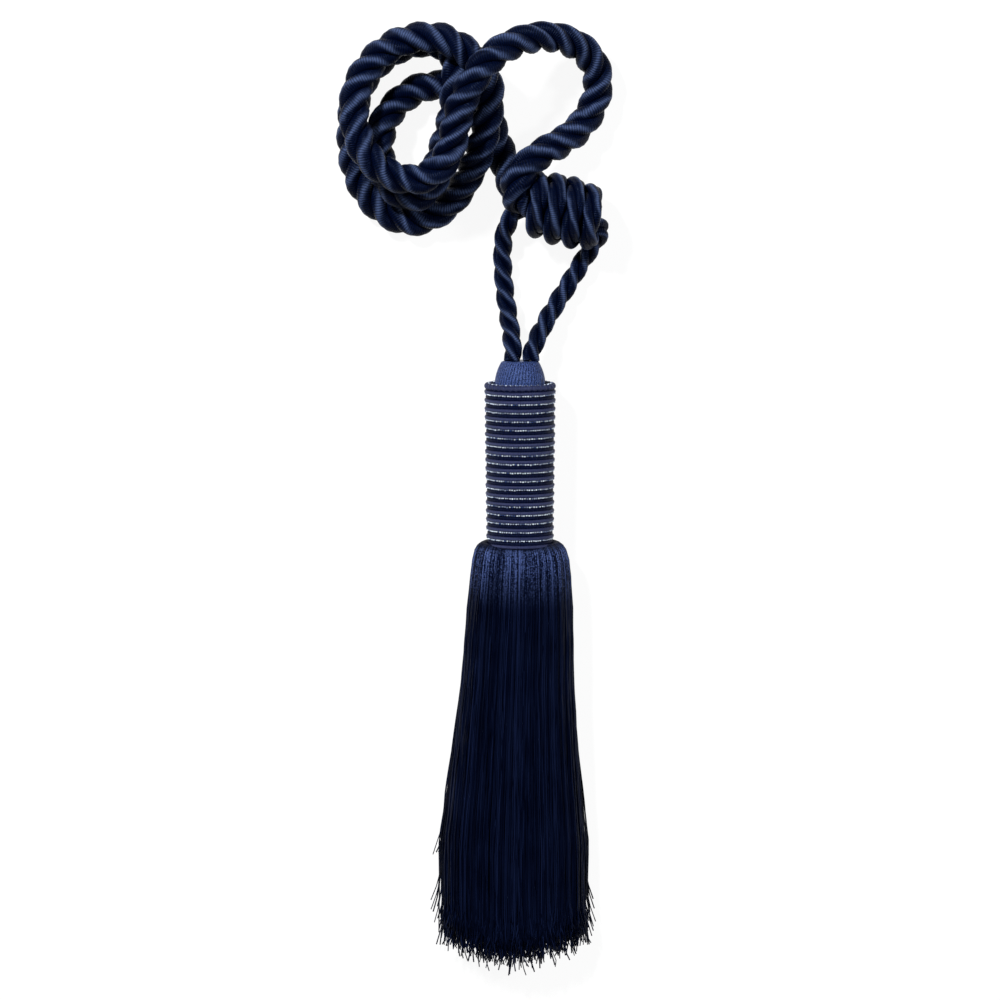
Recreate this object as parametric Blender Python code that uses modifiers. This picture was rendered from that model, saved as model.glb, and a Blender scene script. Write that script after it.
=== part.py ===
"""Tassel tieback lying on a surface: a twisted cord coiled beside a wrapped knot, with a beaded tassel."""

import math
import random

import bmesh
import bpy
from mathutils import Matrix, Vector

# Sizes in metres. The surface is at z = 0, the tassel hangs towards -Y and the origin is under its head.
FIT_GAP = 0.0003

CORD_DIAMETER = 0.0130
CORD_PITCH = 0.030
CORD_END_SCALE = 0.72
CORD_END_LENGTH = 0.014
LOOP_DIAMETER = 0.0080
LOOP_PITCH = 0.027
LOOP_END_SCALE = 0.84
LOOP_END_LENGTH = 0.006
PLIES = 3
POINTS_PER_PLY = 3
VALLEY_SCALE = 0.64
SHOULDER_SCALE = 0.97
SHOULDER_ANGLE = math.radians(22)

HEAD_RADIUS = 0.0145
HEAD_TAPER = 0.0004
HEAD_TOP = 0.0340
HEAD_BOTTOM = -0.0340
HEAD_RINGS = 19
RING_DEPTH = 0.0011
FLAT_DEPTH = 0.00035
HEAD_STEPS = 18
AXIS_HEIGHT = HEAD_RADIUS - FLAT_DEPTH

NECK_TOP = 0.0436
NECK_TOP_RADIUS = 0.0070
NECK_BOTTOM_RADIUS = 0.0104

KNOT_CENTRE = Vector((0.0178, 0.1072, 0.0146))
KNOT_SLOPE = math.radians(-15)
KNOT_TURNS = 3.7
KNOT_WRAP_PITCH = 0.0076
KNOT_WRAP_DIAMETER = 0.0075
KNOT_START_ANGLE = math.radians(-60)
KNOT_END_RADIUS = 0.0093
KNOT_MIDDLE_RADIUS = 0.0112
KNOT_CORE_RADIUS = 0.0084
KNOT_CORE_LENGTH = 0.0250
KNOT_STEPS_PER_TURN = 20

SKIRT_SPACING = 0.0023
SKIRT_STRAND_RADIUS = 0.00078
SKIRT_ROOT = -0.0392
SKIRT_TIP = -0.2125
SKIRT_RAGGED = 0.0050
SKIRT_SEED = 11
COLLAR_TOP = HEAD_BOTTOM - FIT_GAP
COLLAR_BOTTOM = -0.0410
COLLAR_FLATTENING = 0.71

# Route of the thick cord in millimetres, from the knot round the wide loop and three turns back to the knot
CORD_ROUTE = (
    (-2.6, 112.5, 20.0), (-2.8, 118.0, 23.0), (1.2, 125.5, 23.2), (9.0, 131.5, 19.0),
    (17.0, 135.0, 14.0), (25.0, 140.5, 9.5),
    (31.0, 150.0, 7.5), (33.5, 161.0, 8.5), (30.0, 171.5, 12.0), (21.0, 178.0, 18.0), (10.0, 180.5, 25.0),
    (-0.5, 178.5, 32.5), (-9.0, 174.5, 38.0), (-17.0, 167.0, 40.5), (-22.5, 158.0, 38.0),
    (-26.0, 148.0, 35.5), (-27.5, 138.0, 34.0), (-30.5, 128.5, 33.0), (-37.5, 122.0, 32.0),
    (-47.0, 120.0, 31.5), (-56.5, 124.0, 32.0), (-64.5, 131.0, 30.5), (-68.0, 140.0, 27.5),
    (-69.5, 150.0, 25.0), (-68.0, 160.0, 23.0), (-62.0, 169.5, 22.5), (-53.0, 177.0, 23.0),
    (-42.5, 180.0, 24.5), (-32.0, 180.0, 26.0), (-22.8, 174.6, 28.2), (-14.0, 166.0, 26.1),
    (-12.4, 156.5, 24.6), (-13.4, 146.0, 22.6), (-15.5, 136.5, 20.5), (-18.0, 128.5, 17.5),
    (-22.0, 121.0, 12.5), (-26.5, 112.5, 8.0), (-33.0, 106.0, 6.5), (-41.0, 102.0, 6.5),
    (-49.5, 102.0, 6.5), (-58.0, 106.5, 6.5), (-64.5, 113.5, 6.5), (-68.5, 122.0, 6.5),
    (-70.5, 131.5, 6.5), (-70.5, 141.5, 6.5), (-69.5, 151.5, 6.5), (-66.0, 161.5, 6.5),
    (-59.0, 169.5, 6.5), (-50.5, 175.0, 6.5), (-41.0, 177.5, 7.0), (-32.0, 176.5, 9.0),
    (-26.4, 171.5, 13.2), (-26.0, 163.2, 19.8), (-27.4, 151.0, 20.0), (-29.5, 140.5, 17.5),
    (-32.5, 132.0, 16.5), (-35.0, 125.0, 16.5), (-36.0, 117.5, 17.5), (-41.5, 113.0, 18.5),
    (-48.0, 113.0, 18.5), (-54.0, 117.0, 18.0), (-58.0, 124.5, 17.0), (-59.0, 134.0, 15.0),
    (-57.5, 143.5, 12.0), (-52.5, 150.5, 9.0), (-45.5, 156.5, 7.0), (-37.0, 159.5, 6.5),
    (-28.2, 158.3, 6.5), (-21.2, 157.2, 6.5), (-16.5, 152.0, 6.5), (-12.5, 144.0, 6.5),
    (-9.5, 135.5, 7.0), (-6.8, 127.0, 8.0), (-4.0, 119.5, 9.5), (-3.2, 116.0, 10.0),
)

# Routes of the two legs of the tassel's own loop in millimetres, from the knot down to the neck
LEG_ROUTES = {
    "leg_left": (
        (1.0, 108.6, 13.0), (-2.8, 105.6, 12.0), (-5.8, 100.6, 10.0), (-7.4, 93.0, 7.0), (-7.4, 82.5, 5.2),
        (-6.2, 70.5, 5.0), (-4.6, 60.0, 7.0), (-3.4, 53.0, 12.0), (-3.0, 48.0, 14.1), (-3.0, 44.3, 14.1),
    ),
    "leg_right": (
        (34.6, 99.5, 11.0), (32.8, 95.5, 8.5), (29.6, 90.5, 6.2), (24.4, 82.3, 5.0), (19.0, 73.0, 5.0),
        (12.0, 62.5, 7.0), (7.8, 54.5, 11.5), (4.8, 48.5, 14.1), (4.6, 44.3, 14.1),
    ),
}

# Stations down the skirt in millimetres: distance along Y, half width, height of the heap, sideways drift
SKIRT_STATIONS = (
    ("root", -39.2, 18.0, 24.6, 0.4),
    ("shoulder", -50.0, 20.4, 26.0, 0.2),
    ("upper", -85.0, 22.8, 25.6, -0.8),
    ("lower", -145.0, 27.2, 24.0, -2.2),
    ("tip", -212.5, 28.0, 20.5, -2.4),
)

NAVY = (0.012, 0.020, 0.062)
NAVY_LIGHT = (0.030, 0.045, 0.130)


def clear_scene():
    for item in list(bpy.data.objects):
        bpy.data.objects.remove(item)


def make_collection(name, hidden=False):
    made = bpy.data.collections.new(name)
    made.hide_render = hidden
    bpy.context.scene.collection.children.link(made)
    return made


def make_material(name, colour, roughness):
    material = bpy.data.materials.new(name)
    material.use_nodes = True
    shader = material.node_tree.nodes["Principled BSDF"]
    shader.inputs["Base Color"].default_value = (*colour, 1)
    shader.inputs["Roughness"].default_value = roughness
    shader.inputs["Metallic"].default_value = 0
    return material


def add_helper(item):
    """A guide or cutter: kept in the scene but never rendered."""
    helpers.objects.link(item)
    item.hide_render = True
    item.display_type = "WIRE"
    return item


def add_part(item, material):
    item.data.materials.clear()
    item.data.materials.append(material)
    parts.objects.link(item)
    return item


def smooth_route(points_mm, steps=8):
    """Points along a uniform cubic B-spline through hand-set guide points, ends held."""
    points = [Vector(p) / 1000 for p in points_mm]
    points = [2 * points[0] - points[1], *points, 2 * points[-1] - points[-2]]
    route = []
    for a, b, c, d in zip(points, points[1:], points[2:], points[3:]):
        for step in range(steps):
            t = step / steps
            route.append(
                (a * (1 - t) ** 3 + b * (3 * t**3 - 6 * t * t + 4)
                 + c * (-3 * t**3 + 3 * t * t + 3 * t + 1) + d * t**3) / 6
            )
    route.append((points[-3] + 4 * points[-2] + points[-1]) / 6)
    return route


def spaced_evenly(route, spacing):
    """The route's points read again at one even spacing close to the one asked for."""
    lengths = [(b - a).length for a, b in zip(route, route[1:])]
    total = sum(lengths)
    count = max(2, round(total / spacing))
    even = []
    piece, walked = 0, 0.0
    for index in range(count + 1):
        target = total * index / count
        while piece < len(lengths) - 1 and walked + lengths[piece] < target:
            walked += lengths[piece]
            piece += 1
        share = min(1.0, (target - walked) / lengths[piece])
        even.append(route[piece].lerp(route[piece + 1], share))
    return even, total / count


def lobed_profile(name, radius):
    """Cross-section of a laid cord: one lobe for each ply, with a valley between neighbours."""
    curve = bpy.data.curves.new(name, "CURVE")
    curve.dimensions = "2D"
    spline = curve.splines.new("POLY")
    spline.points.add(PLIES * POINTS_PER_PLY - 1)
    spline.use_cyclic_u = True
    for ply in range(PLIES):
        centre = -math.tau * ply / PLIES
        corners = (
            (centre + math.pi / PLIES, VALLEY_SCALE),
            (centre + SHOULDER_ANGLE, SHOULDER_SCALE),
            (centre - SHOULDER_ANGLE, SHOULDER_SCALE),
        )
        for corner, (angle, scale) in enumerate(corners):
            place = (math.cos(angle) * radius * scale, math.sin(angle) * radius * scale, 0, 1)
            spline.points[ply * POINTS_PER_PLY + corner].co = place
    return add_helper(bpy.data.objects.new(name, curve))


def laid_cord(name, route, profile, pitch, hand, end_scale=1.0, end_length=0.001):
    """A curve object swept with the lobed profile, turned once a pitch; its ends draw in."""
    points, spacing = spaced_evenly(route, pitch / (PLIES * POINTS_PER_PLY))
    curve = bpy.data.curves.new(name, "CURVE")
    curve.dimensions = "3D"
    curve.twist_mode = "MINIMUM"
    curve.bevel_mode = "OBJECT"
    curve.bevel_object = profile
    curve.use_fill_caps = True
    spline = curve.splines.new("POLY")
    spline.points.add(len(points) - 1)
    last = len(points) - 1
    for index, place in enumerate(points):
        from_end = min(index, last - index) * spacing
        spline.points[index].co = (*place, 1)
        spline.points[index].tilt = hand * math.tau * index * spacing / pitch
        spline.points[index].radius = end_scale + (1 - end_scale) * min(1.0, from_end / end_length)
    return bpy.data.objects.new(name, curve)


def mesh_from_curve(item):
    """The curve's swept mesh as a new object, its caps welded on."""
    helpers.objects.link(item)
    graph = bpy.context.evaluated_depsgraph_get()
    graph.update()
    mesh = bpy.data.meshes.new_from_object(item.evaluated_get(graph))
    made = bpy.data.objects.new(item.name + "_mesh", mesh)
    made.matrix_world = item.matrix_world
    bpy.data.objects.remove(item)
    work = bmesh.new()
    work.from_mesh(mesh)
    bmesh.ops.remove_doubles(work, verts=work.verts, dist=0.000005)
    bmesh.ops.recalc_face_normals(work, faces=work.faces)
    work.to_mesh(mesh)
    work.free()
    return made


def turned(name, profile, steps):
    """A closed profile of (radius, along Y) pairs, front to back, turned about the tassel's axis."""
    mesh = bpy.data.meshes.new(name)
    work = bmesh.new()
    corners = [work.verts.new((radius, 0, along)) for radius, along in profile]
    for a, b in zip(corners, corners[1:]):
        work.edges.new((a, b))
    work.to_mesh(mesh)
    work.free()
    item = bpy.data.objects.new(name, mesh)
    item.rotation_euler = (-math.pi / 2, 0, 0)
    item.location = (0, 0, AXIS_HEIGHT)
    screw = item.modifiers.new("Turn", "SCREW")
    screw.axis = "Z"
    screw.steps = steps
    screw.render_steps = steps
    screw.use_merge_vertices = True
    screw.merge_threshold = 0.00001
    return item


def cut_at_surface(item):
    """Leaves the small flat on which a round piece rests."""
    cut = item.modifiers.new("Flat", "BOOLEAN")
    cut.operation = "DIFFERENCE"
    cut.solver = "EXACT"
    cut.object = surface_cutter


def make_surface_cutter():
    mesh = bpy.data.meshes.new("surface_cutter")
    work = bmesh.new()
    bmesh.ops.create_cube(work, size=1, matrix=Matrix.Diagonal((0.3, 0.6, 0.02, 1)))
    work.to_mesh(mesh)
    work.free()
    item = add_helper(bpy.data.objects.new("surface_cutter", mesh))
    item.location = (0, 0, -0.01)
    return item


def make_main_cord():
    profile = lobed_profile("cord_profile", CORD_DIAMETER / 2)
    route = smooth_route(CORD_ROUTE)
    cord = laid_cord("main_cord", route, profile, CORD_PITCH, 1, CORD_END_SCALE, CORD_END_LENGTH)
    return add_part(cord, make_material("thick_cord", NAVY, 0.45))


def make_legs():
    profile = lobed_profile("loop_profile", LOOP_DIAMETER / 2)
    material = make_material("thin_cord", NAVY, 0.45)
    for name, points in LEG_ROUTES.items():
        leg = laid_cord(name, smooth_route(points), profile, LOOP_PITCH, -1, LOOP_END_SCALE, LOOP_END_LENGTH)
        add_part(leg, material)


def knot_route():
    """The wrap's centreline: a helix that bulges in the middle, about an axis that slopes down to the right."""
    along = Vector((math.cos(KNOT_SLOPE), math.sin(KNOT_SLOPE), 0))
    across = Vector((-along.y, along.x, 0))
    up = Vector((0, 0, 1))
    route = []
    count = round(KNOT_TURNS * KNOT_STEPS_PER_TURN)
    for index in range(count + 1):
        share = index / count
        angle = KNOT_START_ANGLE + math.tau * KNOT_TURNS * share
        offset = (share - 0.5) * KNOT_TURNS * KNOT_WRAP_PITCH
        bulge = 1 - (2 * share - 1) ** 2
        radius = KNOT_END_RADIUS + (KNOT_MIDDLE_RADIUS - KNOT_END_RADIUS) * bulge
        ring = across * math.cos(angle) + up * math.sin(angle)
        route.append(KNOT_CENTRE + along * offset + ring * radius)
    return route


def make_knot():
    """The wrapped knot: turns of the thin cord, one solid with the bight that they bind."""
    profile = lobed_profile("wrap_profile", KNOT_WRAP_DIAMETER / 2)
    wrap = mesh_from_curve(laid_cord("knot_wrap", knot_route(), profile, LOOP_PITCH, -1))
    add_helper(wrap)
    mesh = bpy.data.meshes.new("knot")
    work = bmesh.new()
    radius = KNOT_CORE_RADIUS
    depth = KNOT_CORE_LENGTH
    bmesh.ops.create_cone(work, cap_ends=True, segments=16, radius1=radius, radius2=radius, depth=depth)
    work.to_mesh(mesh)
    work.free()
    knot = bpy.data.objects.new("knot", mesh)
    knot.location = KNOT_CENTRE
    knot.rotation_euler = (0, math.pi / 2, KNOT_SLOPE)
    join = knot.modifiers.new("Wraps", "BOOLEAN")
    join.operation = "UNION"
    join.solver = "EXACT"
    join.object = wrap
    cut_at_surface(knot)
    return add_part(knot, make_material("knot_cord", NAVY, 0.45))


def make_neck():
    length = NECK_TOP - HEAD_TOP - FIT_GAP
    profile = [(0, NECK_TOP)]
    for share, swell in ((0, 0), (0.15, 0.42), (0.45, 0.76), (1, 1)):
        radius = NECK_TOP_RADIUS + (NECK_BOTTOM_RADIUS - NECK_TOP_RADIUS) * swell
        profile.append((radius, NECK_TOP - length * share))
    profile.append((0, HEAD_TOP + FIT_GAP))
    return add_part(turned("neck", profile, 24), make_material("neck_yarn", NAVY_LIGHT, 0.5))


def make_head():
    """The bound head: one raised ring of gimp for each row of beads."""
    pitch = (HEAD_TOP - HEAD_BOTTOM) / HEAD_RINGS
    profile = [(0, HEAD_TOP)]
    for ring in range(HEAD_RINGS):
        crest = HEAD_RADIUS + HEAD_TAPER * (1 - 2 * ring / (HEAD_RINGS - 1))
        top = HEAD_TOP - ring * pitch
        profile.append((crest - RING_DEPTH, top))
        profile.append((crest, top - 0.25 * pitch))
        profile.append((crest, top - 0.65 * pitch))
    profile.append((HEAD_RADIUS - HEAD_TAPER - RING_DEPTH, HEAD_BOTTOM))
    profile.append((0, HEAD_BOTTOM))
    head = turned("head", profile, HEAD_STEPS)
    cut_at_surface(head)
    return add_part(head, make_material("head_gimp", NAVY_LIGHT, 0.5))


def skirt_rows():
    """Rows of roots in the collar, low to high: share of the height, and each strand's share of the width."""
    stations = SKIRT_STATIONS[0]
    half_width, height = stations[2] / 1000, stations[3] / 1000
    count = int(height / SKIRT_SPACING) + 1
    rows = []
    for row in range(count):
        share = row / (count - 1)
        chord = math.sqrt(max(0.0, 1 - (0.94 * (2 * share - 1)) ** 2))
        strands = int(2 * half_width * chord / SKIRT_SPACING) + 1
        shift = 0.5 if row % 2 else 0.0
        places = [((index + 0.5 + 0.3 * (shift - 0.25)) / strands) * 2 - 1 for index in range(strands)]
        rows.append((share, chord, places))
    return rows


def strand_route(share, chord, place, tip, wander):
    """One strand from its root in the collar to its tip; the lower rows spread out flat on the surface."""
    route = []
    for _, along, half_width, height, drift in SKIRT_STATIONS:
        done = (along - SKIRT_STATIONS[0][1]) / (SKIRT_STATIONS[-1][1] - SKIRT_STATIONS[0][1])
        spread = chord + (math.sqrt(max(0.0, 1 - share * share)) - chord) * done
        lift = SKIRT_STRAND_RADIUS * 1000 + share * height * (1 - 0.25 * done * abs(place))
        lift += (1 - done) ** 6 * (1 - share) * 1.2
        sideways = drift + place * spread * half_width + wander * done
        route.append(Vector((sideways, SKIRT_ROOT * 1000 + (tip - SKIRT_ROOT) * 1000 * done, lift)) / 1000)
    return route


def make_strands():
    """All strands as one curve of four-sided threads, a little apart from each other."""
    rng = random.Random(SKIRT_SEED)
    curve = bpy.data.curves.new("strands", "CURVE")
    curve.dimensions = "3D"
    curve.bevel_depth = SKIRT_STRAND_RADIUS
    curve.bevel_resolution = 0
    curve.use_fill_caps = True
    for share, chord, places in skirt_rows():
        for place in places:
            ragged = SKIRT_RAGGED * (rng.random() - 0.5) * 2
            curl = 0.015 * abs(place) ** 2.2
            wander = 0.9 * (rng.random() - 0.5)
            route = strand_route(share, chord, place, SKIRT_TIP + ragged + curl, wander)
            spline = curve.splines.new("POLY")
            spline.points.add(len(route) - 1)
            for point, spot in zip(spline.points, route):
                point.co = (*spot, 1)
    return mesh_from_curve(bpy.data.objects.new("strands", curve))


def make_skirt():
    """The cut skirt: strands rooted in the collar that is bound under the head."""
    profile = [
        (0, COLLAR_TOP),
        (0.0155, COLLAR_TOP),
        (0.0186, COLLAR_TOP - 0.0020),
        (0.0197, COLLAR_TOP - 0.0045),
        (0.0192, COLLAR_BOTTOM),
        (0, COLLAR_BOTTOM),
    ]
    skirt = turned("skirt", profile, 24)
    skirt.scale = (1, COLLAR_FLATTENING, 1)
    join = skirt.modifiers.new("Strands", "BOOLEAN")
    join.operation = "UNION"
    join.solver = "EXACT"
    join.object = add_helper(make_strands())
    return add_part(skirt, make_material("skirt_yarn", NAVY, 0.55))


clear_scene()
parts = make_collection("tassel_tieback")
helpers = make_collection("guides_and_cutters", hidden=True)
surface_cutter = make_surface_cutter()
make_main_cord()
make_legs()
make_knot()
make_neck()
make_head()
make_skirt()
bpy.context.view_layer.update()
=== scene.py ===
import math

import bpy
import numpy as np
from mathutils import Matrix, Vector


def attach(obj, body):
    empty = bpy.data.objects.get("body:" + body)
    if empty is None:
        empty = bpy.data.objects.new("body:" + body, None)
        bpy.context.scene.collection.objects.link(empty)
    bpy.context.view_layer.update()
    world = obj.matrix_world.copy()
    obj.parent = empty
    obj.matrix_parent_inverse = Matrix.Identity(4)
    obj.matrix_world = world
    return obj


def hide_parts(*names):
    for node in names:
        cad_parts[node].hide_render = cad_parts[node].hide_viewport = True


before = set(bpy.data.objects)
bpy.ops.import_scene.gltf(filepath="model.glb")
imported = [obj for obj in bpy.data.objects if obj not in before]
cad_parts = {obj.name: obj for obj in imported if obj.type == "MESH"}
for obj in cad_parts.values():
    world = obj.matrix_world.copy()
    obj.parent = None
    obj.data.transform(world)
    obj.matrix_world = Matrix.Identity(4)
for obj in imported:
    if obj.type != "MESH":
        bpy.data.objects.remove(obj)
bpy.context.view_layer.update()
mm = 0.001
turn = 2 * math.pi
floorGap = 0.04 * mm  # nothing dips under the surface


# Curves and tubes, all in metres

def smoothRoute(points, steps=12):  # a uniform cubic B-spline past guide points in millimetres, ends held
    pts = np.array(points, float) * mm
    pts = np.vstack([2 * pts[0] - pts[1], pts, 2 * pts[-1] - pts[-2]])
    t = (np.arange(steps) / steps)[:, None]
    weights = ((1 - t) ** 3, 3 * t ** 3 - 6 * t ** 2 + 4, -3 * t ** 3 + 3 * t ** 2 + 3 * t + 1, t ** 3)
    spans = [sum(w * p for w, p in zip(weights, pts[i:i + 4])) / 6 for i in range(len(pts) - 3)]
    last = (pts[-3] + 4 * pts[-2] + pts[-1]) / 6
    return np.vstack([*spans, last])


def lengthsAlong(route):
    return np.concatenate([[0], np.cumsum(np.linalg.norm(np.diff(route, axis=0), axis=1))])


def spacedEvenly(route, spacing):
    walked = lengthsAlong(route)
    marks = np.linspace(0, walked[-1], max(3, round(walked[-1] / spacing)) + 1)
    return np.stack([np.interp(marks, walked, route[:, k]) for k in range(3)], axis=1), marks


def unit(v):
    return v / np.linalg.norm(v, axis=-1, keepdims=True)


def ramp(value, start, end):  # 0 up to the start, 1 from the end on
    return np.clip((value - start) / (end - start), 0, 1)


def carriedSides(route):  # the two directions square to the line, carried along it with the least twist
    tangent = unit(np.gradient(route, axis=0))
    up = np.array([0, 0, 1.0])
    normal = np.empty_like(tangent)
    normal[0] = unit(up - tangent[0] * (up @ tangent[0]))
    for i in range(1, len(route)):
        normal[i] = unit(normal[i - 1] - tangent[i] * (normal[i - 1] @ tangent[i]))
    return normal, np.cross(tangent, normal)


def ringsAbout(centres, outward, radii, angles):  # circles square to each line, the first point outward
    tangent = unit(np.gradient(centres, axis=-2))
    side = unit(np.cross(tangent, outward))
    out = np.cross(side, tangent)
    circle = out[..., None, :] * np.cos(angles)[:, None] + side[..., None, :] * np.sin(angles)[:, None]
    return centres[..., None, :] + circle * radii[..., None]


def tubesMesh(name, rings, along=None, tone=None):
    # rings is tubes x stations x sides x 3; every tube gets end caps
    # along gives the threads' UV layer of (length, turn), and tone one number for each tube
    tubes, stations, sides = rings.shape[:3]
    index = np.arange(tubes * stations * sides).reshape(tubes, stations, sides)
    beside = np.roll(index, -1, axis=2)
    quads = np.stack([index[:, :-1], beside[:, :-1], beside[:, 1:], index[:, 1:]], axis=-1).reshape(-1, 4)
    caps = np.concatenate([index[:, 0, ::-1], index[:, -1]])
    corners = np.concatenate([quads.ravel(), caps.ravel()])
    starts = np.concatenate([np.arange(len(quads)) * 4, quads.size + np.arange(len(caps)) * sides])
    mesh = bpy.data.meshes.new(name)
    mesh.vertices.add(index.size)
    mesh.vertices.foreach_set("co", rings.astype(np.float32).ravel())
    mesh.loops.add(len(corners))
    mesh.loops.foreach_set("vertex_index", corners.astype(np.int32))
    mesh.polygons.add(len(starts))
    mesh.polygons.foreach_set("loop_start", starts.astype(np.int32))
    mesh.polygons.foreach_set("use_smooth", np.ones(len(starts), bool))
    if along is not None:
        u = np.broadcast_to(along[..., None], (tubes, stations, sides))
        uQuads = np.stack([u[:, :-1], u[:, :-1], u[:, 1:], u[:, 1:]], axis=-1).reshape(-1)
        v = np.arange(sides) / sides
        vQuads = np.stack([v, v + 1 / sides, v + 1 / sides, v], axis=-1)
        vQuads = np.broadcast_to(vQuads, (tubes, stations - 1, sides, 4)).reshape(-1)
        uCaps = np.concatenate([u[:, 0], u[:, -1]]).reshape(-1)
        uvU = np.concatenate([uQuads, uCaps])
        uvV = np.concatenate([vQuads, np.zeros(caps.size)])
        threads = np.stack([uvU, uvV], axis=1).astype(np.float32)
        mesh.uv_layers.new(name="threads").uv.foreach_set("vector", threads.ravel())
    if tone is not None:
        layer = mesh.attributes.new("tone", "FLOAT", "POINT")
        layer.data.foreach_set("value", np.repeat(tone, stations * sides).astype(np.float32))
    mesh.update(calc_edges=True)
    mesh.validate()
    return mesh


def aboveFloor(rings):
    rings[..., 2] = np.maximum(rings[..., 2], floorGap)
    return rings


def addPiece(mesh, material, node):
    piece = bpy.data.objects.new(mesh.name, mesh)
    bpy.context.scene.collection.objects.link(piece)
    mesh.materials.append(material)
    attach(piece, "root")
    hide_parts(node)
    return piece


# Materials

class Wire:  # one socket of a material, with arithmetic that adds the Math nodes
    def __init__(self, paint, socket):
        self.paint = paint
        self.socket = socket

    def math(self, operation, *values):
        return self.paint.node("ShaderNodeMath", {"operation": operation}, dict(enumerate(values)))

    def __add__(self, other):
        return self.math("ADD", self, other)

    def __radd__(self, other):
        return self.math("ADD", other, self)

    def __sub__(self, other):
        return self.math("SUBTRACT", self, other)

    def __rsub__(self, other):
        return self.math("SUBTRACT", other, self)

    def __mul__(self, other):
        return self.math("MULTIPLY", self, other)

    def __rmul__(self, other):
        return self.math("MULTIPLY", other, self)

    def __pow__(self, other):
        return self.math("POWER", self, other)

    def __rpow__(self, other):
        return self.math("POWER", other, self)

    def wave(self):  # a sine between 0 and 1
        return self.math("SINE", self) * 0.5 + 0.5


class Paint:  # a new material and the one way to put nodes in it
    def __init__(self, name, **shaderValues):
        self.material = bpy.data.materials.new(name)
        self.material.use_nodes = True
        self.nodes = self.material.node_tree.nodes
        self.links = self.material.node_tree.links
        self.shader = self.nodes["Principled BSDF"]
        for key, value in shaderValues.items():
            self.shader.inputs[key.replace("_", " ")].default_value = value

    def node(self, kind, settings=None, sockets=None, output=0):
        made = self.nodes.new(kind)
        for key, value in (settings or {}).items():
            setattr(made, key, value)
        for key, value in (sockets or {}).items():
            if isinstance(value, Wire):
                self.links.new(value.socket, made.inputs[key])
            else:
                made.inputs[key].default_value = value
        return Wire(self, made.outputs[output])

    def threads(self, axis):  # "X" is the length along a yarn in metres, "Y" the share of a turn around it
        uv = self.node("ShaderNodeUVMap", {"uv_map": "threads"})
        return self.node("ShaderNodeSeparateXYZ", None, {"Vector": uv}, axis)

    def noise(self, scale, detail):  # soft spots, as many in a metre as the scale says
        place = self.node("ShaderNodeTexCoord", output="Object")
        return self.node("ShaderNodeTexNoise", None, {"Vector": place, "Scale": scale, "Detail": detail})

    def tone(self):  # the one number of each yarn or bead
        return self.node("ShaderNodeAttribute", {"attribute_name": "tone"}, output=2)

    def ease(self, value, start, end):  # 0 at the start, 1 at the end
        sockets = {"Value": value, "From Min": start, "From Max": end}
        return self.node("ShaderNodeMapRange", {"interpolation_type": "SMOOTHSTEP"}, sockets)

    def mix(self, factor, *colours):
        a, b = (colour if isinstance(colour, Wire) else (*colour, 1) for colour in colours)
        return self.node("ShaderNodeMix", {"data_type": "RGBA"}, {"Factor": factor, 6: a, 7: b}, 2)

    def feed(self, key, wire):
        self.links.new(wire.socket, self.shader.inputs[key])


silkTint = (0.45, 0.60, 1, 1)  # the highlights of all the yarns are blue

# what all the wound yarns share; the scales are spots in a metre
yarnGrain = {
    "wanderScale": 260,
    "shadeScale": 45,
    "fuzzScale": 2600,
    "threadHeight": 0.75,
    "fuzzHeight": 0.5,
    # painted shade: the threads' tops lighter and the grooves between them darker
    "paintedGrooveShade": 0.75,
    "shadeTone": 0.5,
    "baseTone": -0.15,
    "paintedHighlightSway": 3.5,
    "paintedHighlightThreads": 0.65,  # how far the grooves between threads break up the painted highlight on a ply's crest
    "shadeRough": 0.08,
    "grooveRough": 0.10,
}


def yarnPaint(look):
    # silky yarn wound across a ply: fine threads in relief with painted shade in their grooves, a painted
    # highlight along each ply's crest, and slow random changes of tone
    paint = Paint(look["name"], Specular_IOR_Level=look["gloss"], Specular_Tint=silkTint)
    grain = yarnGrain
    around = paint.threads("Y")
    wander = paint.noise(grain["wanderScale"], 2)
    shade = paint.noise(grain["shadeScale"], 3)
    fuzz = paint.noise(grain["fuzzScale"], 3)
    windings = paint.threads("X") * (turn / look["threadPitch"])
    thread = (windings + around * (turn * look["lead"]) + wander * look["wander"]).wave()
    height = thread * grain["threadHeight"] + fuzz * grain["fuzzHeight"]
    relief = {"Strength": look["relief"], "Distance": look["depth"], "Height": height}
    paint.feed("Normal", paint.node("ShaderNodeBump", None, relief))
    # painted shade: each thread lighter on top and darker in the grooves between threads
    tone = thread * grain["paintedGrooveShade"] + shade * grain["shadeTone"] + grain["baseTone"]
    body = paint.mix(tone + (fuzz - 0.5) * look["speckle"], look["dark"], look["light"])
    # painted highlight: a lighter line along each ply's outward crest, broken up by the threads
    crest = (around * turn + turn / 4 + (shade - 0.5) * grain["paintedHighlightSway"]).wave()
    broken = thread * grain["paintedHighlightThreads"] + (1 - grain["paintedHighlightThreads"])
    paintedCrestHighlight = crest ** look["paintedHighlightNarrow"] * broken * look["paintedHighlightShare"]
    paint.feed("Base Color", paint.mix(paintedCrestHighlight, body, look["paintedCrestHighlight"]))
    paint.feed("Roughness", look["rough"] + shade * grain["shadeRough"] + (1 - thread) * grain["grooveRough"])
    return paint.material


# Thick cord: three plies laid to the right, each wound with fine threads

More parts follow.
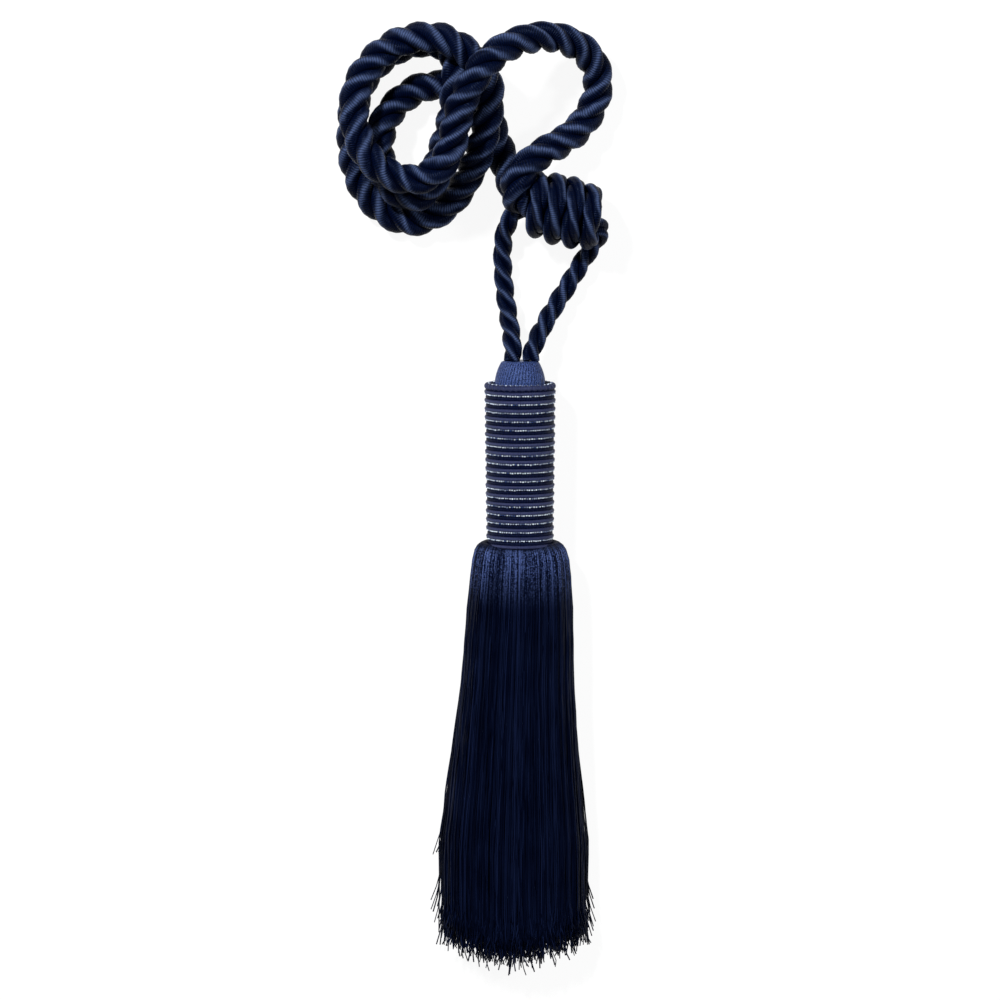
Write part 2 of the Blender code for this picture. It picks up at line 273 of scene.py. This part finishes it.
mainCord = {
    "diameter": 13.2 * mm,
    "plyDiameter": 6.3 * mm,
    "pitch": 30 * mm,
    "hand": 1,
    "station": 0.55 * mm,
    "endScale": 0.70,
    "endLength": 14 * mm,
    "start": 0.0,
    "lay": "coiled",
    "look": {
        "name": "navyCordYarn",
        "dark": (0.0001, 0.0004, 0.0030),
        "light": (0.0010, 0.0032, 0.0170),
        "paintedCrestHighlight": (0.058, 0.086, 0.185),  # a painted highlight along the crest of each ply
        "paintedHighlightShare": 0.70,
        "paintedHighlightNarrow": 42,
        "rough": 0.30,
        "gloss": 0.05,
        "threadPitch": 0.84 * mm,
        "lead": 1,  # threads that the winding moves along in one turn
        "wander": 9.0,
        "relief": 1.0,
        "depth": 0.20 * mm,
        "speckle": 1.2,
    },
}

# the cord's guide points in millimetres, from the knot round the wide loop and three turns back to the knot
mainRoute = (
    (-2.6, 112.5, 20.0), (-2.8, 118.0, 23.0), (1.2, 125.5, 23.2), (9.0, 131.5, 19.0),
    (17.0, 135.0, 14.0), (25.0, 140.5, 9.5),
    (31.0, 150.0, 7.5), (33.5, 161.0, 8.5), (30.0, 171.5, 12.0), (21.0, 178.0, 18.0), (10.0, 180.5, 25.0),
    (-0.5, 178.5, 32.5), (-9.0, 174.5, 38.0), (-17.0, 167.0, 40.5), (-22.5, 158.0, 38.0),
    (-26.0, 148.0, 35.5), (-27.5, 138.0, 34.0), (-30.5, 128.5, 33.0), (-37.5, 122.0, 32.0),
    (-47.0, 120.0, 31.5), (-56.5, 124.0, 32.0), (-64.5, 131.0, 30.5), (-68.0, 140.0, 27.5),
    (-69.5, 150.0, 25.0), (-68.0, 160.0, 23.0), (-62.0, 169.5, 22.5), (-53.0, 177.0, 23.0),
    (-42.5, 180.0, 24.5), (-32.0, 180.0, 26.0), (-22.8, 174.6, 28.2), (-14.0, 166.0, 26.1),
    (-12.4, 156.5, 24.6), (-13.4, 146.0, 22.6), (-15.5, 136.5, 20.5), (-18.0, 128.5, 17.5),
    (-22.0, 121.0, 12.5), (-26.5, 112.5, 8.0), (-33.0, 106.0, 6.5), (-41.0, 102.0, 6.5),
    (-49.5, 102.0, 6.5), (-58.0, 106.5, 6.5), (-64.5, 113.5, 6.5), (-68.5, 122.0, 6.5),
    (-70.5, 131.5, 6.5), (-70.5, 141.5, 6.5), (-69.5, 151.5, 6.5), (-66.0, 161.5, 6.5),
    (-59.0, 169.5, 6.5), (-50.5, 175.0, 6.5), (-41.0, 177.5, 7.0), (-32.0, 176.5, 9.0),
    (-26.4, 171.5, 13.2), (-26.0, 163.2, 19.8), (-27.4, 151.0, 20.0), (-29.5, 140.5, 17.5),
    (-32.5, 132.0, 16.5), (-35.0, 125.0, 16.5), (-36.0, 117.5, 17.5), (-41.5, 113.0, 18.5),
    (-48.0, 113.0, 18.5), (-54.0, 117.0, 18.0), (-58.0, 124.5, 17.0), (-59.0, 134.0, 15.0),
    (-57.5, 143.5, 12.0), (-52.5, 150.5, 9.0), (-45.5, 156.5, 7.0), (-37.0, 159.5, 6.5),
    (-28.2, 158.3, 6.5), (-21.2, 157.2, 6.5), (-16.5, 152.0, 6.5), (-12.5, 144.0, 6.5),
    (-9.5, 135.5, 7.0), (-6.8, 127.0, 8.0), (-4.0, 119.5, 9.5), (-3.2, 116.0, 10.0),
)

# the points by which each end runs on into the knot, which hides where it is cut
mainTucks = (((8.0, 108.2, 15.5), (2.2, 108.6, 17.6)), ((0.2, 112.8, 11.5), (6.0, 110.5, 13.0)))

plies = {
    "count": 3,
    "sides": 14,
    "sideShift": 0.045,  # of a turn; the sides lie wider apart on a ply's outer side than on its inner one
    "uneven": 0.018,  # how much a ply's thickness varies
    "unevenSpots": 90,
    "threadShift": 0.37,  # metres, so that no two plies have the same threads
    "seed": 7,
}

plyTurn = np.linspace(0, 1, plies["sides"], endpoint=False)
plyAngles = turn * (plyTurn + plies["sideShift"] * np.sin(turn * plyTurn))


def laidCord(name, route, size):
    # returns the mesh of the plies and the even line that they are laid about
    line, distance = spacedEvenly(route, size["station"])
    normal, binormal = carriedSides(line)
    fromEnd = np.minimum(distance, distance[-1] - distance)
    scale = size["endScale"] + (1 - size["endScale"]) * ramp(fromEnd, 0, size["endLength"])
    layRadius = (size["diameter"] - size["plyDiameter"]) / 2
    spots = np.linspace(0, distance[-1], plies["unevenSpots"])
    rings, along = [], []
    rng = np.random.default_rng(plies["seed"])
    for ply in range(plies["count"]):
        angle = size["start"] + turn * (size["hand"] * distance / size["pitch"] + ply / plies["count"])
        out = normal * np.cos(angle)[:, None] + binormal * np.sin(angle)[:, None]
        centres = line + out * (layRadius * scale)[:, None]
        uneven = np.interp(distance, spots, rng.normal(0, plies["uneven"], plies["unevenSpots"]))
        radii = size["plyDiameter"] / 2 * scale * (1 + uneven)
        rings.append(ringsAbout(centres, out, radii[:, None] * np.ones(plies["sides"]), plyAngles))
        along.append(lengthsAlong(centres) + ply * plies["threadShift"])
    return tubesMesh(name, aboveFloor(np.array(rings)), np.array(along)), line


def freeCord(name, points, tucks, size, material, node):
    mesh, line = laidCord(name, smoothRoute((*tucks[0], *points, *tucks[1])), size)
    piece = addPiece(mesh, material, node)


cordYarn = yarnPaint(mainCord["look"])
freeCord("mainCord", mainRoute, mainTucks, mainCord, cordYarn, "main_cord")

# Thin cord: the two legs of the tassel's loop, laid to the left

thinCord = {
    "diameter": 8.2 * mm,
    "plyDiameter": 3.95 * mm,
    "pitch": 27 * mm,
    "hand": -1,
    "station": 0.5 * mm,
    "endScale": 0.92,
    "endLength": 6 * mm,
    "start": 0.4,
    "lay": "loose",
    "look": {
        **mainCord["look"],
        "name": "navyThinCordYarn",
        "threadPitch": 0.78 * mm,
        "lead": -1,
        "depth": 0.16 * mm,
    },
}

legRoutes = {
    "leg_left": (
        (1.0, 108.6, 13.0), (-2.8, 105.6, 12.0), (-5.8, 100.6, 10.0), (-7.4, 93.0, 7.0), (-7.4, 82.5, 5.2),
        (-6.2, 70.5, 5.0), (-4.6, 60.0, 7.0), (-3.4, 53.0, 12.0), (-3.0, 48.0, 14.1), (-3.0, 44.3, 14.1),
    ),
    "leg_right": (
        (34.6, 99.5, 11.0), (32.8, 95.5, 8.5), (29.6, 90.5, 6.2), (24.4, 82.3, 5.0), (19.0, 73.0, 5.0),
        (12.0, 62.5, 7.0), (7.8, 54.5, 11.5), (4.8, 48.5, 14.1), (4.6, 44.3, 14.1),
    ),
}

legTucks = {
    "leg_left": (((9.0, 107.0, 15.0), (4.4, 108.8, 14.2)), ()),
    "leg_right": (((27.0, 102.0, 15.0), (31.0, 101.0, 13.6)), ()),
}

thinYarn = yarnPaint(thinCord["look"])
for legNode, legPoints in legRoutes.items():
    pieceName = "legLeft" if legNode == "leg_left" else "legRight"
    freeCord(pieceName, legPoints, legTucks[legNode], thinCord, thinYarn, legNode)

# Knot: thin cord wrapped about the thick cord's ends

knot = {
    "centre": (17.8 * mm, 107.2 * mm, 14.6 * mm),
    "slope": math.radians(-15),
    "turns": 3.7,
    "wrapPitch": 7.6 * mm,
    "startAngle": math.radians(-60),
    "endRadius": 9.3 * mm,
    "middleRadius": 11.2 * mm,
    "stations": 400,
    "wrap": {
        **thinCord,
        "diameter": 8.5 * mm,
        "plyDiameter": 4.3 * mm,
        "pitch": 44 * mm,
        "endScale": 1,
        "start": 1.2,
    },
    "bight": {  # the thick cord's ends, seen only between the wraps
        **mainCord,
        "diameter": 16 * mm,
        "plyDiameter": 8 * mm,
        "pitch": 60 * mm,
        "endScale": 0.8,
        "endLength": 5 * mm,
    },
    "bightHalf": 14.5 * mm,
}

knotCentre = np.array(knot["centre"])
knotAlong = np.array([math.cos(knot["slope"]), math.sin(knot["slope"]), 0])
knotAcross = np.array([-knotAlong[1], knotAlong[0], 0])


def wrapLine():
    share = np.linspace(0, 1, knot["stations"])[:, None]
    angle = knot["startAngle"] + turn * knot["turns"] * share
    bulge = 1 - (2 * share - 1) ** 2
    radius = knot["endRadius"] + (knot["middleRadius"] - knot["endRadius"]) * bulge
    ring = knotAcross * np.cos(angle) + np.array([0, 0, 1]) * np.sin(angle)
    offset = (share - 0.5) * knot["turns"] * knot["wrapPitch"]
    return knotCentre + knotAlong * offset + ring * radius


def bightLine():
    ends = knotCentre + knotAlong * np.array([[-1], [0], [1]]) * knot["bightHalf"]
    return smoothRoute(ends / mm)


addPiece(laidCord("knotWraps", wrapLine(), knot["wrap"])[0], thinYarn, "knot")
addPiece(laidCord("knotBight", bightLine(), knot["bight"])[0], cordYarn, "knot")
print("knot: wraps and bight")

# Neck: a bell of satin yarn laid from the legs down to the head's rim

axisHeight = 14.15 * mm  # the tassel's axis above the surface, for the neck and the head


def aboutAxis(reach, place, angle):  # points at a reach from the tassel's axis and a place along it
    reach, place, angle = np.broadcast_arrays(reach, place, angle)
    return np.stack([reach * np.sin(angle), place, axisHeight + reach * np.cos(angle)], axis=-1)


neck = {
    "top": 43.9 * mm,
    "bottom": 33.6 * mm,
    "topRadius": 7.2 * mm,
    "bottomRadius": 10.6 * mm,
    "fullness": 0.8,  # under 1 swells sooner
    "turnedIn": (0.55, 0.93),  # the first two rows round the top edge over
    "rows": 26,
    "yarns": 76,
    "sidesPerYarn": 4,
    "relief": 0.10 * mm,
    "sway": 0.05,
    "sways": 3,
    "yarnLength": 11 * mm,
    "look": {
        **mainCord["look"],
        "name": "satinNeckYarn",
        "dark": (0.0006, 0.002, 0.014),
        "light": (0.040, 0.066, 0.190),
        "gloss": 0.12,
        "threadPitch": 9 * mm,
        "lead": 48,
        "wander": 4.0,
        "speckle": 6.0,
        "paintedHighlightShare": 0.0,
    },
}


def neckMesh():
    share = np.linspace(0, 1, neck["rows"])
    swell = np.sin(share * math.pi / 2) ** neck["fullness"]
    radius = neck["topRadius"] + (neck["bottomRadius"] - neck["topRadius"]) * swell
    radius[:2] *= neck["turnedIn"]
    place = neck["top"] + (neck["bottom"] - neck["top"]) * np.maximum(share - share[1], 0)
    sides = neck["yarns"] * neck["sidesPerYarn"]
    angle = turn * np.arange(sides) / sides
    sway = neck["sway"] * np.sin(neck["sways"] * angle) * share[:, None]
    ribs = neck["relief"] * (np.abs(np.sin((angle + sway) * neck["yarns"] / 2)) - 0.5)
    rings = aboutAxis(radius[:, None] + ribs, place[:, None], angle)
    return tubesMesh("neckYarn", rings[None], (share * neck["yarnLength"])[None])


addPiece(neckMesh(), yarnPaint(neck["look"]), "neck")
print("neck: satin bell")

# Head: steps of wound band and gimp under a roped rim, with a row of glass beads in each groove

head = {
    "top": 34.0 * mm,
    "bottom": -34.0 * mm,
    "radius": 14.5 * mm,
    "taper": 0.4 * mm,
    "steps": 19,
    "core": 12.7 * mm,
    # share of the core's radius, and millimetres down from the head's top
    "coreProfile": ((0.2, 0.3), (0.75, 0.3), (1, 0.9), (1, 67.1), (0.75, 67.7), (0.2, 67.7)),
    "coreSides": 72,
}

# each ring's middle lies below its step's top, and its crest inside the step's own by the inset
headBands = {
    "thickness": 2.1 * mm,
    "below": 1.45 * mm,
    "inset": 0.40 * mm,
    "sides": 10,
    "stations": 240,
    "ridges": 150,
    "relief": 0.035,
    "look": {
        **mainCord["look"],
        "name": "woundBandYarn",
        "dark": (0.0002, 0.0006, 0.005),
        "light": (0.0035, 0.0065, 0.028),
        "paintedHighlightShare": 0.0,
        "threadPitch": 0.7 * mm,
        "wander": 6.0,
        "speckle": 2.0,
    },
}

headGimps = {
    **headBands,
    "thickness": 1.6 * mm,
    "below": 2.80 * mm,
    "inset": -0.12 * mm,  # a little prouder than the bands
    "sides": 8,
    "look": {
        **mainCord["look"],
        "name": "gimpYarn",
        "dark": (0.001, 0.002, 0.012),
        "light": (0.017, 0.021, 0.062),
        "paintedCrestHighlight": (0.060, 0.070, 0.155),
        "paintedHighlightNarrow": 4,
        "paintedHighlightShare": 0.6,
        "rough": 0.32,
        "gloss": 0.10,
        "threadPitch": 0.55 * mm,
        "wander": 2.0,
    },
}

headRim = {
    "thickness": 2.5 * mm,
    "below": 0.5 * mm,
    "inset": 0.0,
    "sides": 14,
    "stations": 480,
    "ridges": 34,
    "relief": 0.13,
}

headBeads = {
    "size": 0.66 * mm,
    "spacing": 1.08 * mm,
    "sink": 0.30 * mm,  # the beads' centres inside the gimps' crests
    "below": 0.12 * mm,
    "rimAbove": 0.60 * mm,  # the last row lies inside the rim
    "rimInset": 0.62,  # of the rim's thickness
    "profile": ((-0.5, 0.28), (-0.28, 0.85), (0, 1), (0.28, 0.85), (0.5, 0.28)),  # place and reach
    "sides": 6,
    "unevenTurn": 0.07,
    "unevenSize": 0.10,
    "unevenLift": 0.04 * mm,
    "unevenPlace": 0.07 * mm,
    "seed": 3,
    "dull": (0.02, 0.05, 0.18),
    "bright": (0.78, 0.88, 1.0),
    "metallic": 0.1,
    "rough": 0.12,
    "roughMore": 0.12,  # on the brightest beads
}


def wheelRings(name, tops, crests, ring):
    # one round ring for each step, its surface in slanted ridges
    angle = (turn * np.arange(ring["stations"] + 1) / ring["stations"])[:, None]
    around = turn * np.arange(ring["sides"]) / ring["sides"]
    minor = ring["thickness"] / 2 * (1 + ring["relief"] * np.sin(angle * ring["ridges"] + around))
    rings = [
        aboutAxis(
            crest - ring["inset"] - ring["thickness"] / 2 + minor * np.cos(around),
            top - ring["below"] + minor * np.sin(around), angle,
        )
        for top, crest in zip(tops, crests)
    ]
    along = np.broadcast_to(angle[:, 0] * head["radius"], (len(rings), len(angle)))
    return tubesMesh(name, aboveFloor(np.array(rings)), along)


def coreMesh():
    angle = turn * np.arange(head["coreSides"]) / head["coreSides"]
    shares, down = np.array(head["coreProfile"]).T
    rings = aboutAxis((shares * head["core"])[:, None], (head["top"] - down * mm)[:, None], angle)
    return tubesMesh("headCore", aboveFloor(rings)[None], (down * mm)[None])


def beadRows(places, radii):
    # every bead is a small rounded piece of glass threaded round the head
    # its tone says how brightly it sparkles
    count = int(turn * head["radius"] / headBeads["spacing"])
    rng = np.random.default_rng(headBeads["seed"])
    travel, reach = np.array(headBeads["profile"]).T
    around = (turn * np.arange(headBeads["sides"]) / headBeads["sides"])[:, None]
    rings = []
    for place, lift in zip(places, radii):
        seats = np.arange(count) + rng.random() + rng.normal(0, headBeads["unevenTurn"], count)
        angle = turn * seats / count
        size = headBeads["size"] / 2 * (1 + rng.normal(0, headBeads["unevenSize"], count))
        out = np.stack([np.sin(angle), 0 * angle, np.cos(angle)], -1)
        forward = np.stack([np.cos(angle), 0 * angle, -np.sin(angle)], -1)
        middle = out * (lift + rng.normal(0, headBeads["unevenLift"], count))[:, None]
        middle[:, 1] += place + rng.normal(0, headBeads["unevenPlace"], count)
        middle[:, 2] += axisHeight
        centres = middle[:, None] + forward[:, None] * (travel * headBeads["size"])[:, None]
        circle = out[:, None, None] * np.cos(around) + np.array([0, -1.0, 0]) * np.sin(around)
        rings.append(centres[:, :, None] + circle * (size[:, None] * reach)[..., None, None])
    rings = np.concatenate(rings)
    rings = rings[rings[..., 2].min(axis=(1, 2)) > floorGap]
    return tubesMesh("headBeads", rings, None, rng.random(len(rings)))


def beadPaint():
    paint = Paint("glassBeads", Metallic=headBeads["metallic"])
    tone = paint.tone()
    paint.feed("Base Color", paint.mix(tone, headBeads["dull"], headBeads["bright"]))
    paint.feed("Roughness", headBeads["rough"] + tone * headBeads["roughMore"])
    return paint.material


stepTops = head["top"] - (head["top"] - head["bottom"]) / head["steps"] * np.arange(head["steps"])
crests = head["radius"] + head["taper"] * np.linspace(1, -1, head["steps"])
gimpPaint = yarnPaint(headGimps["look"])
addPiece(
    wheelRings("headBands", stepTops, crests, headBands), yarnPaint(headBands["look"]), "head",
)
addPiece(wheelRings("headGimps", stepTops, crests, headGimps), gimpPaint, "head")
addPiece(wheelRings("headRim", stepTops[:1], crests[:1], headRim), gimpPaint, "head")
addPiece(coreMesh(), cordYarn, "head")
beadPlaces = np.append(stepTops[1:] - headBeads["below"], head["top"] + headBeads["rimAbove"])
rimReach = crests[0] - headRim["thickness"] * headBeads["rimInset"]
beadReach = np.append(crests[1:] - headBeads["sink"], rimReach)
addPiece(beadRows(beadPlaces, beadReach), beadPaint(), "head")
print("head: rings and beads")

# Skirt: fine cut yarns that fold over the collar and lie on the surface in a low heap

# down the skirt in millimetres: along Y, half width, height of the heap, sideways drift
skirtShape = np.array((
    (-32.4, 14.9, 22.6, 0.0),
    (-32.8, 16.4, 25.6, 0.1),
    (-33.8, 17.9, 27.2, 0.1),
    (-36.0, 19.3, 28.0, 0.2),
    (-40.0, 20.3, 28.4, 0.3),
    (-50.0, 21.4, 28.0, 0.2),
    (-66.0, 22.5, 27.2, -0.2),
    (-90.0, 23.5, 26.2, -1.0),
    (-130.0, 26.4, 24.8, -2.0),
    (-162.0, 29.0, 23.2, -2.6),
    (-185.0, 28.6, 22.0, -2.6),
    (-216.0, 28.2, 20.5, -2.6),
)) * mm

skirt = {
    "yarn": 0.52 * mm,
    "yarnSizes": (0.75, 1.15),
    "wrap": 0.28,  # of a half turn, how far the yarns reach round under the heap on each side
    "tip": -218.5 * mm,
    "ragged": 17 * mm,  # most yarns end near this short of the tip, and a few near the tip itself
    "raggedPower": 1 / 3,
    "rounding": 9 * mm,  # how much shorter the skirt is at its edges
    "roundingPower": 2.2,
    "crimp": (0.06 * mm, 0.28 * mm),
    "crimpFull": 1 / 6,  # the share of a yarn's length by which it has all its crimp
    "waves": (3, 8),
    "riseWaves": 0.8,  # up and down, for each one sideways
    "lean": 0.9 * mm,
    "kinkFrom": 0.93,  # the last centimetre or so of each yarn is kinked
    "kink": (0.2 * mm, 1.4 * mm),
    "kinkWaves": (0.5, 1.1),
    "tipSpread": 1.3 * mm,
    "floorHeap": 1.2 * mm,  # the lowest yarns lie up to this far above the surface
}

skirtOuter = {"yarns": 1270, "depths": (0.93, 1.0), "stations": 20, "sides": 4, "seed": 5}
skirtInner = {"yarns": 1500, "depths": (0.15, 0.93), "stations": 16, "sides": 3, "seed": 6}

skirtStrays = {
    "yarns": 60,
    "stations": 26,
    "sides": 4,
    "seed": 21,
    "tips": (186 * mm, 207 * mm),  # how far below the middle of the head they end
    "shortTip": 167 * mm,
    "shortShare": 0.06,
    "root": skirtShape[3, 0],  # they leave the heap past the fold
    "reach": 0.985,  # of the heap's half width
    "apart": (0.2 * mm, 3.0 * mm),
    "apartOver": (0.4, 0.8),  # shares of a yarn's length over which it comes away from the heap
    "splay": (-1.5 * mm, 4.5 * mm),
    "splayOver": (0.91, 1),
    "splayPower": 1.5,
    "sway": (0.2 * mm, 0.7 * mm),
    "swayWaves": (1.5, 3),
    "rootHeight": 11 * mm,
    "tipHeight": (0.8 * mm, 9 * mm),
    "downBy": 1 / 1.3,  # the share of a yarn's length by which it has sunk to its tip's height
}

skirtLook = {
    "gloss": 0.06,
    "rough": 0.24,
    "roughMore": 0.2,  # on the palest yarns
    "paintedSheen": (4 * mm, 29 * mm),  # down the skirt, where the painted sheen over the fold fades
    "under": (0.6 * mm, 4 * mm),  # and where it comes out from under the head; nearer the head the sheen is left out, a painted shadow
    "darkYarn": (0.0002, 0.0008, 0.0050),
    "lightYarn": (0.0050, 0.0090, 0.0330),
    "yarnPower": 2.5,  # above 1 leaves fewer pale yarns
    "yarnSpread": 0.8,
    "yarnBase": -0.12,
    "shade": 0.35,
    "shadeScale": 60,
    # the colours of the painted sheen where the yarns bend over the fold
    "darkPaintedSheen": (0.0004, 0.0014, 0.009),
    "lightPaintedSheen": (0.056, 0.086, 0.225),
    "paintedSheenPower": 1.8,
    "paintedSheenSpread": 1.4,
    "paintedSheenBase": -0.22,
    "glint": 3.4,
    "glintScale": 1500,
}

foldSteps = (0, 0.003, 0.009, 0.02, 0.045)  # stations lie closer together at the fold and at the tips
evenFrom = 0.09
tipSteps = (0.95, 0.967, 0.984, 1)


def shapeAt(y):  # half width, height and drift of the skirt
    return (np.interp(-y, -skirtShape[:, 0], skirtShape[:, k]) for k in (1, 2, 3))


def skirtYarns(name, layer):
    rng = np.random.default_rng(layer["seed"])
    count = layer["yarns"]
    column = (count, 1)
    angle = math.pi * rng.uniform(-skirt["wrap"], 1 + skirt["wrap"], count)
    depth = rng.uniform(*layer["depths"], count)
    shorter = skirt["rounding"] * np.abs(np.cos(angle)) ** skirt["roundingPower"] * depth
    tips = skirt["tip"] + shorter + skirt["ragged"] * rng.random(count) ** skirt["raggedPower"]
    evenSteps = np.linspace(evenFrom, skirt["kinkFrom"], layer["stations"] - len(foldSteps) - len(tipSteps))
    walk = np.concatenate([foldSteps, evenSteps, tipSteps])
    y = skirtShape[0, 0] + (tips[:, None] - skirtShape[0, 0]) * walk
    width, height, drift = shapeAt(y)
    x = drift + (np.cos(angle) * depth)[:, None] * width
    z = height * (0.5 + 0.5 * (np.sin(angle) * depth)[:, None])
    crimp = rng.uniform(*skirt["crimp"], column) * ramp(walk, 0, skirt["crimpFull"])
    waves = rng.uniform(*skirt["waves"], column) * turn * walk
    phase = rng.uniform(0, turn, (count, 4))
    x += crimp * np.sin(waves + phase[:, :1])
    z += crimp * np.sin(waves * skirt["riseWaves"] + phase[:, 1:2])
    x += rng.normal(0, skirt["lean"], column) * walk ** 2
    end = ramp(walk, skirt["kinkFrom"], 1)
    kink = rng.uniform(*skirt["kink"], column) * end
    x += kink * np.sin(turn * end * rng.uniform(*skirt["kinkWaves"], column) + phase[:, 2:3])
    z += kink * np.sin(turn * end * rng.uniform(*skirt["kinkWaves"], column) + phase[:, 3:])
    x += rng.normal(0, skirt["tipSpread"], column) * end
    z = np.maximum(z, skirt["yarn"] / 2 + rng.uniform(0, skirt["floorHeap"], column))
    return yarnTubes(name, np.stack([x, y, z], axis=-1), layer["sides"], rng)


def yarnTubes(name, lines, sides, rng):
    count, stations = lines.shape[:2]
    upward = np.broadcast_to(np.array([0.0, 0.0, 1.0]), lines.shape)
    radii = skirt["yarn"] / 2 * rng.uniform(*skirt["yarnSizes"], (count, 1, 1)) * np.ones((stations, sides))
    rings = ringsAbout(lines, upward, radii, turn * np.arange(sides) / sides)
    return tubesMesh(name, aboveFloor(rings), skirtShape[0, 0] - lines[..., 1], rng.random(count))


def strayYarns():  # the few yarns that stand off both edges and splay at their tips
    strays = skirtStrays
    rng = np.random.default_rng(strays["seed"])
    column = (strays["yarns"], 1)
    side = np.where(rng.random(column) < 0.5, -1, 1)
    short = rng.random(column) < strays["shortShare"]
    tips = -np.where(short, strays["shortTip"], rng.uniform(*strays["tips"], column))
    walk = np.linspace(0, 1, strays["stations"])
    y = strays["root"] + (tips - strays["root"]) * walk
    width, _, drift = shapeAt(y)
    apart = rng.uniform(*strays["apart"], column) * ramp(walk, *strays["apartOver"])
    splay = rng.uniform(*strays["splay"], column) * ramp(walk, *strays["splayOver"]) ** strays["splayPower"]
    sway = rng.uniform(*strays["sway"], column) * walk
    sway = sway * np.sin(turn * (walk * rng.uniform(*strays["swayWaves"], column) + rng.random(column)))
    x = drift + side * (width * strays["reach"] + apart + splay + sway)
    low = rng.uniform(*strays["tipHeight"], column)
    z = strays["rootHeight"] + (low - strays["rootHeight"]) * ramp(walk, 0, strays["downBy"])
    z = np.maximum(z, skirt["yarn"] / 2)
    return yarnTubes("skirtStrays", np.stack([x, y, z], axis=-1), strays["sides"], rng)


def skirtPaint():
    look = skirtLook
    paint = Paint("cutSkirtYarn", Specular_IOR_Level=look["gloss"], Specular_Tint=silkTint)
    tone = paint.tone()
    down = paint.threads("X")
    # painted sheen where the yarns fold over the collar, fading down the skirt, with painted shadow just
    # below the head
    paintedSheen = (1 - paint.ease(down, *look["paintedSheen"])) * paint.ease(down, *look["under"])
    shade = paint.noise(look["shadeScale"], 2) * look["shade"]
    glint = (paint.noise(look["glintScale"], 1) - 0.5) * look["glint"]
    pale = tone ** look["yarnPower"] * look["yarnSpread"] + shade + look["yarnBase"]
    shiny = tone ** look["paintedSheenPower"] * look["paintedSheenSpread"] + glint + look["paintedSheenBase"]
    deep = paint.mix(pale, look["darkYarn"], look["lightYarn"])
    paintedSheenColour = paint.mix(shiny, look["darkPaintedSheen"], look["lightPaintedSheen"])
    paint.feed("Base Color", paint.mix(paintedSheen, deep, paintedSheenColour))
    paint.feed("Roughness", look["rough"] + tone * look["roughMore"])
    return paint.material


cutYarn = skirtPaint()
addPiece(skirtYarns("skirtOuter", skirtOuter), cutYarn, "skirt")
addPiece(skirtYarns("skirtInner", skirtInner), cutYarn, "skirt")
addPiece(strayYarns(), cutYarn, "skirt")
print("skirt: cut yarns")

# Surface, light and camera

studio = {
    "floorSize": 4,
    "floor": (0.08, 0.08, 0.08, 1),
    "floorRough": 0.85,
    "glow": 0.92,  # the surface shines a little by itself, as a light table does
    "world": (0.90, 0.94, 1.00, 1),
    "worldStrength": 0.20,
    "lights": (  # name, place, size, power
        ("keyLight", (-0.60, 0.85, 1.10), 0.15, 34),
        ("sideLight", (0.90, 0.35, 0.80), 0.16, 8),
    ),
    "cameraTilt": math.radians(6.6),
    "cameraDistance": 2.4,
    "aim": (-8.4 * mm, -14.7 * mm, 14.0 * mm),
    "frameWidth": 420 * mm,  # how much the picture shows from side to side
    "sensor": 36,
}


def softLight(name, place, size, power):
    lamp = bpy.data.lights.new(name, "AREA")
    lamp.size = size
    lamp.energy = power
    item = bpy.data.objects.new(name, lamp)
    item.location = place
    item.rotation_euler = (-Vector(place)).to_track_quat("-Z", "Y").to_euler()
    bpy.context.scene.collection.objects.link(item)


def floorPiece():
    bpy.ops.mesh.primitive_plane_add(size=studio["floorSize"], location=(0, 0, 0))
    floor = bpy.context.object
    floor.name = "floor"
    glow = dict(Emission_Color=(1, 1, 1, 1), Emission_Strength=studio["glow"])
    paint = Paint("paleSurface", Base_Color=studio["floor"], Roughness=studio["floorRough"], **glow)
    floor.data.materials.append(paint.material)


def paleWorld():
    world = bpy.data.worlds.new("studio")
    world.use_nodes = True
    background = world.node_tree.nodes["Background"]
    background.inputs["Color"].default_value = studio["world"]
    background.inputs["Strength"].default_value = studio["worldStrength"]
    bpy.context.scene.world = world


def photoCamera():
    tilt = studio["cameraTilt"]
    lens = bpy.data.cameras.new("photoCamera")
    lens.sensor_width = studio["sensor"]
    lens.lens = studio["sensor"] * studio["cameraDistance"] / studio["frameWidth"]
    camera = bpy.data.objects.new("photoCamera", lens)
    back = Vector((0, math.sin(tilt), math.cos(tilt))) * studio["cameraDistance"]
    camera.location = Vector(studio["aim"]) + back
    camera.rotation_euler = (-tilt, 0, 0)
    bpy.context.scene.collection.objects.link(camera)
    bpy.context.scene.camera = camera
    bpy.context.scene.view_settings.view_transform = "Standard"  # so that the surface comes out near white


floorPiece()
for light in studio["lights"]:
    softLight(*light)
paleWorld()
photoCamera()
bpy.context.view_layer.update()
print("studio: floor, lights and camera")
